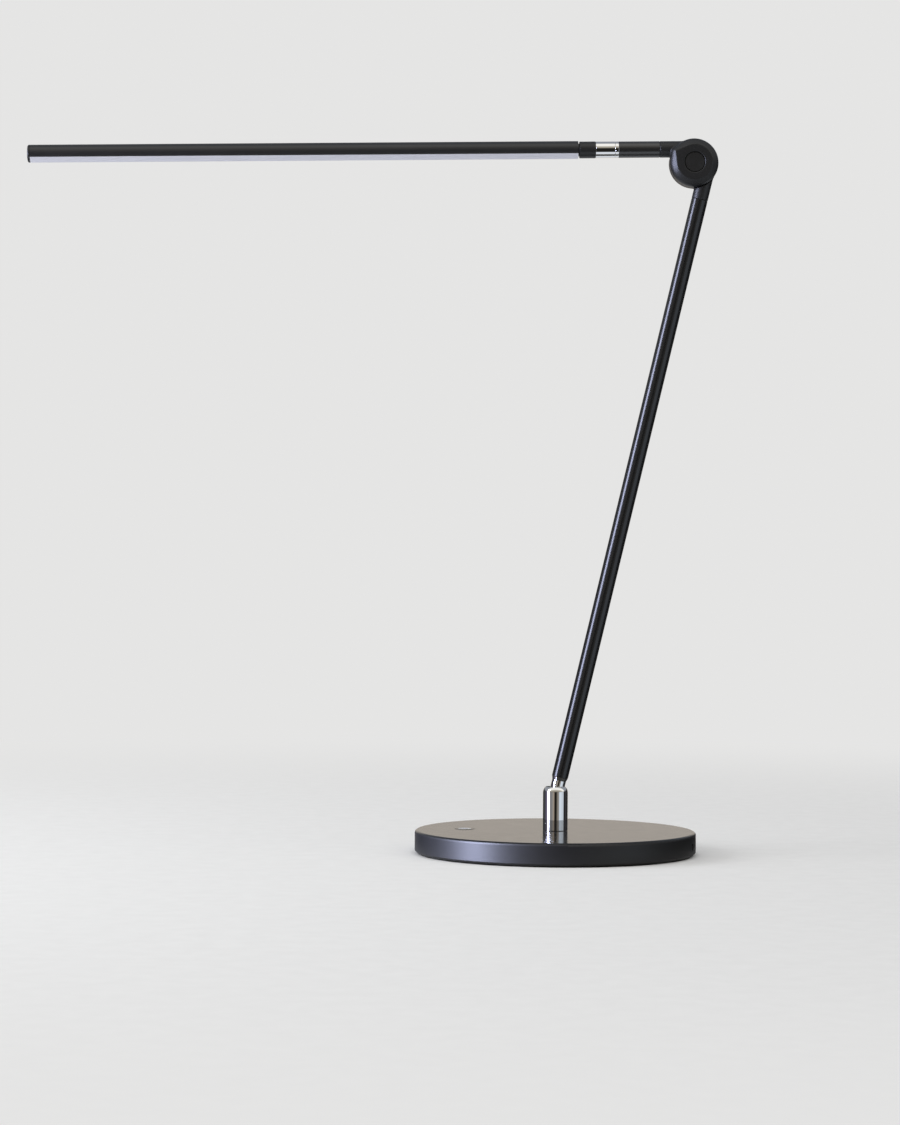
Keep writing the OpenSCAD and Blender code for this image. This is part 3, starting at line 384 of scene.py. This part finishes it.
def finish_piece(piece, slot, body, nodes, finish=None):
    piece.data.materials.append(MATERIALS[finish or slot])
    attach(piece, body)
    if nodes:
        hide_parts(*nodes)


# ---------------------------------------------------------------- shapes from fields
def soft_min(a, b, k):
    h = np.clip(0.5 + 0.5 * (b - a) / k, 0, 1)
    return b + (a - b) * h - k * h * (1 - h)


def soft_max(a, b, k):
    return -soft_min(-a, -b, k)


def corner_of(array, offset, shape):
    """The values at one corner of every cell."""
    return array[tuple(slice(o, o + n) for o, n in zip(offset, shape))]


def net_points(value, pitch, low):
    """One point in each cell that the surface crosses, and each cell's number or -1."""
    shape = tuple(n - 1 for n in value.shape)
    total = np.zeros(shape + (3,))
    hits = np.zeros(shape)
    for axis in range(3):
        for p in (0, 1):
            for q in (0, 1):
                start = np.insert([p, q], axis, 0)
                end = np.insert([p, q], axis, 1)
                a, b = corner_of(value, start, shape), corner_of(value, end, shape)
                cross = (a < 0) != (b < 0)
                along = np.where(cross, a / np.where(cross, a - b, 1), 0)
                total += cross[..., None] * (start + along[..., None] * (end - start))
                hits += cross
    used = hits > 0
    index = np.full(shape, -1)
    index[used] = np.arange(used.sum())
    return (np.argwhere(used) + total[used] / hits[used][:, None]) * pitch + np.array(low), index


def settled(points, field, pitch, rounds=4):
    """The points moved down the field's slope onto the surface."""
    step = pitch * 0.2
    for _ in range(rounds):
        x, y, z = points.T
        here = field(x, y, z)
        slope = np.stack([field(x + step, y, z) - field(x - step, y, z),
                          field(x, y + step, z) - field(x, y - step, z),
                          field(x, y, z + step) - field(x, y, z - step)], axis=1) / (2 * step)
        size = np.maximum((slope ** 2).sum(axis=1), 0.2)
        points -= np.clip(here / size, -pitch / 2, pitch / 2)[:, None] * slope
    return points


def net_quads(value, index):
    """A quad round every edge that the surface crosses."""
    inside = value < 0
    quads = []
    for axis in range(3):
        first = np.take(inside, range(value.shape[axis] - 1), axis)
        second = np.take(inside, range(1, value.shape[axis]), axis)
        side, other = (axis + 1) % 3, (axis + 2) % 3
        u, v = np.eye(3, dtype=int)[side], np.eye(3, dtype=int)[other]
        for place in np.argwhere(first != second):
            if min(place[side], place[other]) < 1:
                continue
            ring = [index[tuple(place + d)] for d in (-u - v, -v, 0 * u, -u)]
            quads.append(ring if first[tuple(place)] else ring[::-1])
    return quads


def field_mesh(field, low, high, pitch):
    """Vertices and quads of the surface where field(x, y, z) is zero, by surface nets."""
    axes = [np.arange(a, b + pitch, pitch) for a, b in zip(low, high)]
    value = field(*np.meshgrid(*axes, indexing="ij"))
    points, index = net_points(value, pitch, low)
    return settled(points, field, pitch), net_quads(value, index)


# ---------------------------------------------------------------- elbow
# Millimetres. Each half has its middle at the origin, its face towards +Y and its stub towards -Z.
ELBOW = Vector((105.797, 0, 546.422))
LEAN, DROOP = math.radians(13.2), math.radians(0.9)
ARM_OFFSET, TUBE_R, STUB, STUB_ROOT = 11.35, 6.45, 27.0, 5
CUSP = Vector((8.7, -15.07))  # where the drop's tip points, as X and Z
KNUCKLE_R, KNUCKLE_TIP_R, KNUCKLE_REACH = 19.15, 2.6, 20.4
FACE_R, FACE_TIP_R, FACE_REACH = 14.1, 0.5, 17.4
FACE_GAP, FACE_Y, FLANK_SLOPE = 0.1, 12.4, math.radians(40)
PARTING_ROOM = 0.4
RECESS_R, RECESS_FLOOR_Y, BOLT_HOLE_R = 8.2, 4.2, 3.05
SPIGOT_R, SPIGOT_Z, SPIGOT_HALF = 5.2, -31.5, 5.5
CHANNEL_R, CHANNEL_HALF, CHANNEL_TOP_Y = 14.85, 2, 3.8
WIRE_HOLE_R, WIRE_HOLE_Y, WIRE_HOLE_TOP_Z = 1.6, 2.4, -7.4
# how softly the edges are rounded
FACE_EDGE, RIM_EDGE, BACK_EDGE, RECESS_EDGE = 0.35, 2.2, 0.3, 0.25
STUB_EDGE, STUB_FILLET, PARTING_EDGE = 1.0, 1.3, 0.15
NET_LOW, NET_HIGH, NET_PITCH = (-20.5, -7.5, -38), (20.5, 13.5, 20.5), 0.5


def teardrop(x, z, radius, tip_r, reach):
    """Distance to a round plate that runs out to a tip towards the cusp."""
    along = (x * CUSP.x + z * CUSP.y) / CUSP.length
    aside = np.abs(x * CUSP.y - z * CUSP.x) / CUSP.length
    h = reach - tip_r
    b = (radius - tip_r) / h
    a = math.sqrt(1 - b * b)
    k = a * along - b * aside
    side = a * aside + b * along - radius
    round_end = np.hypot(aside, along) - radius
    tip = np.hypot(aside, along - h) - tip_r
    return np.where(k < 0, round_end, np.where(k > a * h, tip, side))


def knuckle_field(x, y, z):
    """Distance to half an elbow, negative inside."""
    away = np.hypot(x, z)
    from_tube = np.hypot(x - ARM_OFFSET, y)
    face = teardrop(x, z, FACE_R, FACE_TIP_R, FACE_REACH)
    flank = (y - FACE_Y) * math.cos(FLANK_SLOPE) + face * math.sin(FLANK_SLOPE)
    top = soft_max(y - FACE_Y, flank, FACE_EDGE)
    wall = teardrop(x, z, KNUCKLE_R, KNUCKLE_TIP_R, KNUCKLE_REACH)
    body = soft_max(soft_max(top, wall, RIM_EDGE), FACE_GAP - y, BACK_EDGE)
    stub_ends = np.abs(z + (STUB + STUB_ROOT) / 2) - (STUB - STUB_ROOT) / 2
    stub = soft_max(from_tube - TUBE_R, stub_ends, STUB_EDGE)
    solid = soft_min(body, stub, STUB_FILLET)
    other_half = np.maximum(away - KNUCKLE_R - PARTING_ROOM, y - FACE_GAP)
    solid = soft_max(solid, -other_half, PARTING_EDGE)
    spigot = np.maximum(from_tube - SPIGOT_R, np.abs(z - SPIGOT_Z) - SPIGOT_HALF)
    solid = np.minimum(solid, spigot)
    recess = np.maximum(away - RECESS_R, RECESS_FLOOR_Y - y)
    solid = soft_max(solid, -recess, RECESS_EDGE)
    solid = np.maximum(solid, BOLT_HOLE_R - away)
    channel = np.maximum(np.abs(away - CHANNEL_R) - CHANNEL_HALF, y - CHANNEL_TOP_Y)
    wire = np.maximum(np.hypot(x - ARM_OFFSET, y - WIRE_HOLE_Y) - WIRE_HOLE_R, z - WIRE_HOLE_TOP_Z)
    return np.maximum(solid, -np.minimum(channel, wire))


def make_knuckles():
    points, quads = field_mesh(knuckle_field, NET_LOW, NET_HIGH, NET_PITCH)
    lean = Matrix.Rotation(LEAN, 4, "Y")
    arm = Matrix.Rotation(-math.pi / 2 - DROOP, 4, "Y") @ Matrix.Rotation(math.pi, 4, "X")
    for name, turn, node, body in (("elbow_casting_rear", lean, "post_knuckle", "post"),
                                   ("elbow_casting_front", arm, "arm_knuckle", "arm")):
        matrix = np.array(Matrix.Scale(MM, 4) @ Matrix.Translation(ELBOW) @ turn)
        piece = mesh_object(name, points @ matrix[:3, :3].T + matrix[:3, 3], quads)
        finish_piece(piece, "black_paint", body, [node], "casting_paint")


# ---------------------------------------------------------------- places, in millimetres
BASE_TURN, BASE_Z, PIVOT_Z = -8, 18.4, 45.65
BUTTON_X = 72
PORT_TURN, PORT_SIDE, PORT_Z, PORT_FACE_X = -5, 8, 8.6, 109.749


def in_head():
    """The arm's axis: Z runs to the tip of the head and X points up, in millimetres from the elbow."""
    return (Matrix.Translation(ELBOW) @ Matrix.Rotation(-math.pi / 2 - DROOP, 4, "Y")
            @ Matrix.Translation((ARM_OFFSET, 0, 0)))


def in_post():
    """The post's axis: Z runs up from the tilt axis and X points to its back."""
    return Matrix.Translation((0, 0, PIVOT_Z)) @ Matrix.Rotation(LEAN, 4, "Y")


def at_button():
    return Matrix.Rotation(math.radians(BASE_TURN), 4, "Z") @ Matrix.Translation((-BUTTON_X, 0, 0))


def at_port(side):
    """X runs out of the port whose middle is PORT_SIDE to one side."""
    turn = Matrix.Rotation(math.radians(BASE_TURN + PORT_TURN), 4, "Z")
    return turn @ Matrix.Translation((0, side * PORT_SIDE, PORT_Z))


# ---------------------------------------------------------------- turned pieces
SHARP_ANGLE = math.radians(35)
AXIS_R = 0.01  # the inner radius of a piece without a bore


def rounded(r, z, bevel, steps=4, up=True):
    """Profile points round an outer edge at radius r and height z."""
    turns = [math.pi / 2 * k / steps for k in range(steps + 1)]
    points = [(r - bevel + bevel * math.cos(a), z - bevel + bevel * math.sin(a)) for a in turns]
    return points if up else [(x, 2 * z - y) for x, y in reversed(points)]


def with_supports(profile, reach=0.12):
    """The profile with a point close to each end of its long sides, which keeps their shading flat."""
    points = []
    for (r0, z0), (r1, z1) in zip(profile, profile[1:] + profile[:1]):
        length = math.hypot(r1 - r0, z1 - z0)
        points.append((r0, z0))
        if length > 8 * reach:
            t = reach / length
            points += [(r0 + (r1 - r0) * k, z0 + (z1 - z0) * k) for k in (t, 1 - t)]
    return points


def lathe(name, profile, place, slot, body, nodes, finish=None, steps=96):
    """A closed ring of profile points (radius, height), turned about the local Z."""
    matrix = Matrix.Scale(MM, 4) @ place
    profile = with_supports(profile)
    count = len(profile)
    verts = []
    for k in range(steps):
        c, s = math.cos(k * math.tau / steps), math.sin(k * math.tau / steps)
        verts += [matrix @ Vector((r * c, r * s, z)) for r, z in profile]
    faces = []
    for k in range(steps):
        a, b = k * count, (k + 1) % steps * count
        faces += [(a + i, b + i, b + (i + 1) % count, a + (i + 1) % count) for i in range(count)]
    piece = mesh_object(name, verts, faces)
    piece.data.set_sharp_from_angle(angle=SHARP_ANGLE)
    finish_piece(piece, slot, body, nodes, finish)


TUBE_WALL, TUBE_EDGE = 1.2, 0.2
POST_S0, POST_S1, ARM_U0, ARM_U1 = 15.25, 484.65, 27.05, 59.3


def tube_profile(low, high):
    bore = TUBE_R - TUBE_WALL
    return [(bore, low), *rounded(TUBE_R, low, TUBE_EDGE, 3, up=False), *rounded(TUBE_R, high, TUBE_EDGE, 3),
            (bore, high)]


def make_tubes():
    lathe("post_pipe", tube_profile(POST_S0, POST_S1), in_post(), "black_paint", "post", ["post_tube"],
          "tube_paint", steps=192)
    lathe("arm_pipe", tube_profile(ARM_U0, ARM_U1), in_head(), "black_paint", "arm", ["arm_tube"],
          "arm_paint", steps=192)


CUP_Z, CUP_TOP_Z, CUP_R, CUP_BORE_R, CUP_EDGE = 18.55, 53.25, 9.883, 7.683, 0.25
SHOULDER_W, SHOULDER_H, SHOULDER_STEPS = 3.2, 5.4, 20
CUP_LIP_W, CUP_LIP_H = 0.12, 0.15
CUP_FLOOR_Z, SHAFT_HOLE_R = 21.55, 5.05


def shoulder_point(turn):
    return CUP_R - SHOULDER_W * (1 - math.cos(turn)), CUP_TOP_Z - SHOULDER_H * (1 - math.sin(turn))


def make_cup():
    """The chrome cup: its shoulder is a quarter of an ellipse that the bore cuts, with a fine lip."""
    end = math.acos((CUP_BORE_R - CUP_R + SHOULDER_W) / SHOULDER_W)
    shoulder = [shoulder_point(end * k / SHOULDER_STEPS) for k in range(SHOULDER_STEPS)]
    lip_z = shoulder_point(end)[1]
    profile = [(SHAFT_HOLE_R, CUP_Z), *rounded(CUP_R, CUP_Z, CUP_EDGE, up=False), *shoulder,
               (CUP_BORE_R + CUP_LIP_W, lip_z), (CUP_BORE_R, lip_z - CUP_LIP_H), (CUP_BORE_R, CUP_FLOOR_Z),
               (SHAFT_HOLE_R, CUP_FLOOR_Z)]
    lathe("chrome_cup", profile, Matrix.Identity(4), "chrome", "swivel", ["swivel_housing"], steps=192)


RING_U, SLEEVE_U, COLLAR_U, COLLAR_END_U, HEAD_U, HEAD_END_U = 59.35, 62.25, 77.55, 90.35, 91.35, 523.35
RING_SEAM, SEAT_GAP, RING_EDGE, SPINDLE_R = 0.1, 0.05, 0.2, 4.3
COLLAR_R, COLLAR_NEAR_EDGE, COLLAR_FAR_EDGE = 6.6, 0.35, 0.5
COLLAR_NECK_R, COLLAR_NECK_OVER, SPINDLE_BOTTOM, WIRE_BORE_R = 5.0, 0.3, 2.5, 1.4
HEAD_R, PLUG_R, PLUG_LEN = 7.0, 3.6, 10
CAP_T, CAP_EDGE, CAP_FOOT_EDGE, CAP_GROOVE_W, CAP_GROOVE_H = 2, 1.1, 0.15, 0.3, 0.35


def make_chrome_rings():
    for name, low, high, body, node in (("chrome_ring", RING_U, SLEEVE_U - RING_SEAM, "arm", "arm_ring"),
                                        ("chrome_sleeve", SLEEVE_U, COLLAR_U, "head", "head_sleeve")):
        profile = [(SPINDLE_R, low), *rounded(TUBE_R, low, RING_EDGE, up=False),
                   *rounded(TUBE_R, high, RING_EDGE), (SPINDLE_R, high)]
        lathe(name, profile, in_head(), "chrome", body, [node])


def make_collar():
    """The black collar, with the neck and the plug that hold the light bar."""
    low, neck_end, plug_end = COLLAR_U + SEAT_GAP, HEAD_U + COLLAR_NECK_OVER, HEAD_U + PLUG_LEN
    spindle_end = COLLAR_END_U - SPINDLE_BOTTOM
    profile = [(SPINDLE_R, low), *rounded(COLLAR_R, low, COLLAR_NEAR_EDGE, up=False),
               *rounded(COLLAR_R, COLLAR_END_U, COLLAR_FAR_EDGE),
               (COLLAR_NECK_R, COLLAR_END_U), (COLLAR_NECK_R, neck_end),
               (PLUG_R, neck_end), (PLUG_R, plug_end),
               (WIRE_BORE_R, plug_end), (WIRE_BORE_R, spindle_end), (SPINDLE_R, spindle_end)]
    lathe("collar", profile, in_head(), "black_plastic", "head", ["head_collar"])


def make_end_cap():
    """The cap at the tip, with its plug and the fine groove where it meets the light bar."""
    low = HEAD_END_U + SEAT_GAP
    top, foot, groove_r = low + CAP_T, low + CAP_GROOVE_W, HEAD_R - CAP_GROOVE_H
    profile = [(AXIS_R, low - PLUG_LEN), (PLUG_R, low - PLUG_LEN), (PLUG_R, low),
               (groove_r, low), (groove_r, foot), *rounded(HEAD_R, foot, CAP_FOOT_EDGE, 2, up=False),
               *rounded(HEAD_R, top, CAP_EDGE, 6), (AXIS_R, top)]
    lathe("head_end_cap", profile, in_head(), "black_plastic", "head", ["end_cap"])


BUTTON_PROUD, BUTTON_R, BUTTON_EDGE = 0.2, 7.9, 0.3
FLANGE_R, FLANGE_Z, FLANGE_T, PLUNGER_R, PLUNGER_Z = 9.2, 14.7, 1.1, 2, 10.75
DISH_R, DISH_DEPTH = 5.25, 1.05


def make_button():
    """The cap with its flange and plunger, softly rounded where the finger meets it."""
    top, flange_top = BASE_Z + BUTTON_PROUD, FLANGE_Z + FLANGE_T
    profile = [(AXIS_R, PLUNGER_Z), (PLUNGER_R, PLUNGER_Z), (PLUNGER_R, FLANGE_Z), (FLANGE_R, FLANGE_Z),
               (FLANGE_R, flange_top), (BUTTON_R, flange_top), *rounded(BUTTON_R, top, BUTTON_EDGE),
               (DISH_R, top), (DISH_R, top - DISH_DEPTH), (AXIS_R, top - DISH_DEPTH)]
    lathe("button", profile, at_button(), "black_paint", "button", ["button_cap"], "cover_paint")


# ---------------------------------------------------------------- ports
RIM_R, RIM_BORE_R, RIM_PROUD, RIM_EDGE_R = 2.75, 1.86, 0.2, 0.15
CONTACT_R, CONTACT_BORE_R, CONTACT_LEN, CONTACT_INSET = 1.72, 1.5, 8, 0.4
TONGUE_FROM, TONGUE_TO, TONGUE_LOW, TONGUE_HIGH = 9, 1.4, 0.14, 0.26
STRIP_SIDES, STRIP_HALF, STRIP_BEVEL = (-3.5, -1.0, 1.0, 3.5), 0.5, 0.03


def make_ports():
    """A thin metal ring and a contact sleeve in the inlet, and the contacts of the charging socket."""
    inlet = at_port(-1) @ Matrix.Rotation(math.pi / 2, 4, "Y")
    face = PORT_FACE_X
    rim = [(RIM_BORE_R, face), (RIM_R, face), *rounded(RIM_R, face + RIM_PROUD, RIM_EDGE_R),
           (RIM_BORE_R, face + RIM_PROUD)]
    lathe("inlet_rim", rim, inlet, "steel", "base", [], steps=48)
    low, high = face - CONTACT_LEN, face - CONTACT_INSET
    sleeve = [(CONTACT_BORE_R, low), (CONTACT_R, low), (CONTACT_R, high), (CONTACT_BORE_R, high)]
    lathe("inlet_contact", sleeve, inlet, "steel", "base", [], steps=48)
    strips = [(face - TONGUE_FROM, face - TONGUE_TO, y - STRIP_HALF, y + STRIP_HALF, TONGUE_LOW, TONGUE_HIGH)
              for y in STRIP_SIDES]
    finish_piece(boxes_mesh("socket_contacts", strips, at_port(1)), "brass", "base", [])


def boxes_mesh(name, boxes, place):
    """Small plates, each x0, x1, y0, y1, z0, z1 in the place's millimetres, with bevelled edges."""
    bm = bmesh.new()
    for x0, x1, y0, y1, z0, z1 in boxes:
        outline = ((x0, y0), (x1, y0), (x1, y1), (x0, y1))
        corners = [bm.verts.new((x, y, z)) for z in (z0, z1) for x, y in outline]
        for ring in ((3, 2, 1, 0), (4, 5, 6, 7), (0, 1, 5, 4), (1, 2, 6, 5), (2, 3, 7, 6), (3, 0, 4, 7)):
            bm.faces.new([corners[k] for k in ring])
    bmesh.ops.bevel(bm, geom=bm.edges[:], offset=STRIP_BEVEL, segments=1, affect="EDGES")
    bm.transform(Matrix.Scale(MM, 4) @ place)
    mesh = bpy.data.meshes.new(name)
    bm.to_mesh(mesh)
    bm.free()
    piece = bpy.data.objects.new(name, mesh)
    bpy.context.scene.collection.objects.link(piece)
    return piece


make_camera()
make_world()
make_stage()
make_materials()
dress_nodes()
make_knuckles()
make_tubes()
make_cup()
make_chrome_rings()
make_collar()
make_end_cap()
make_button()
make_ports()
make_window()
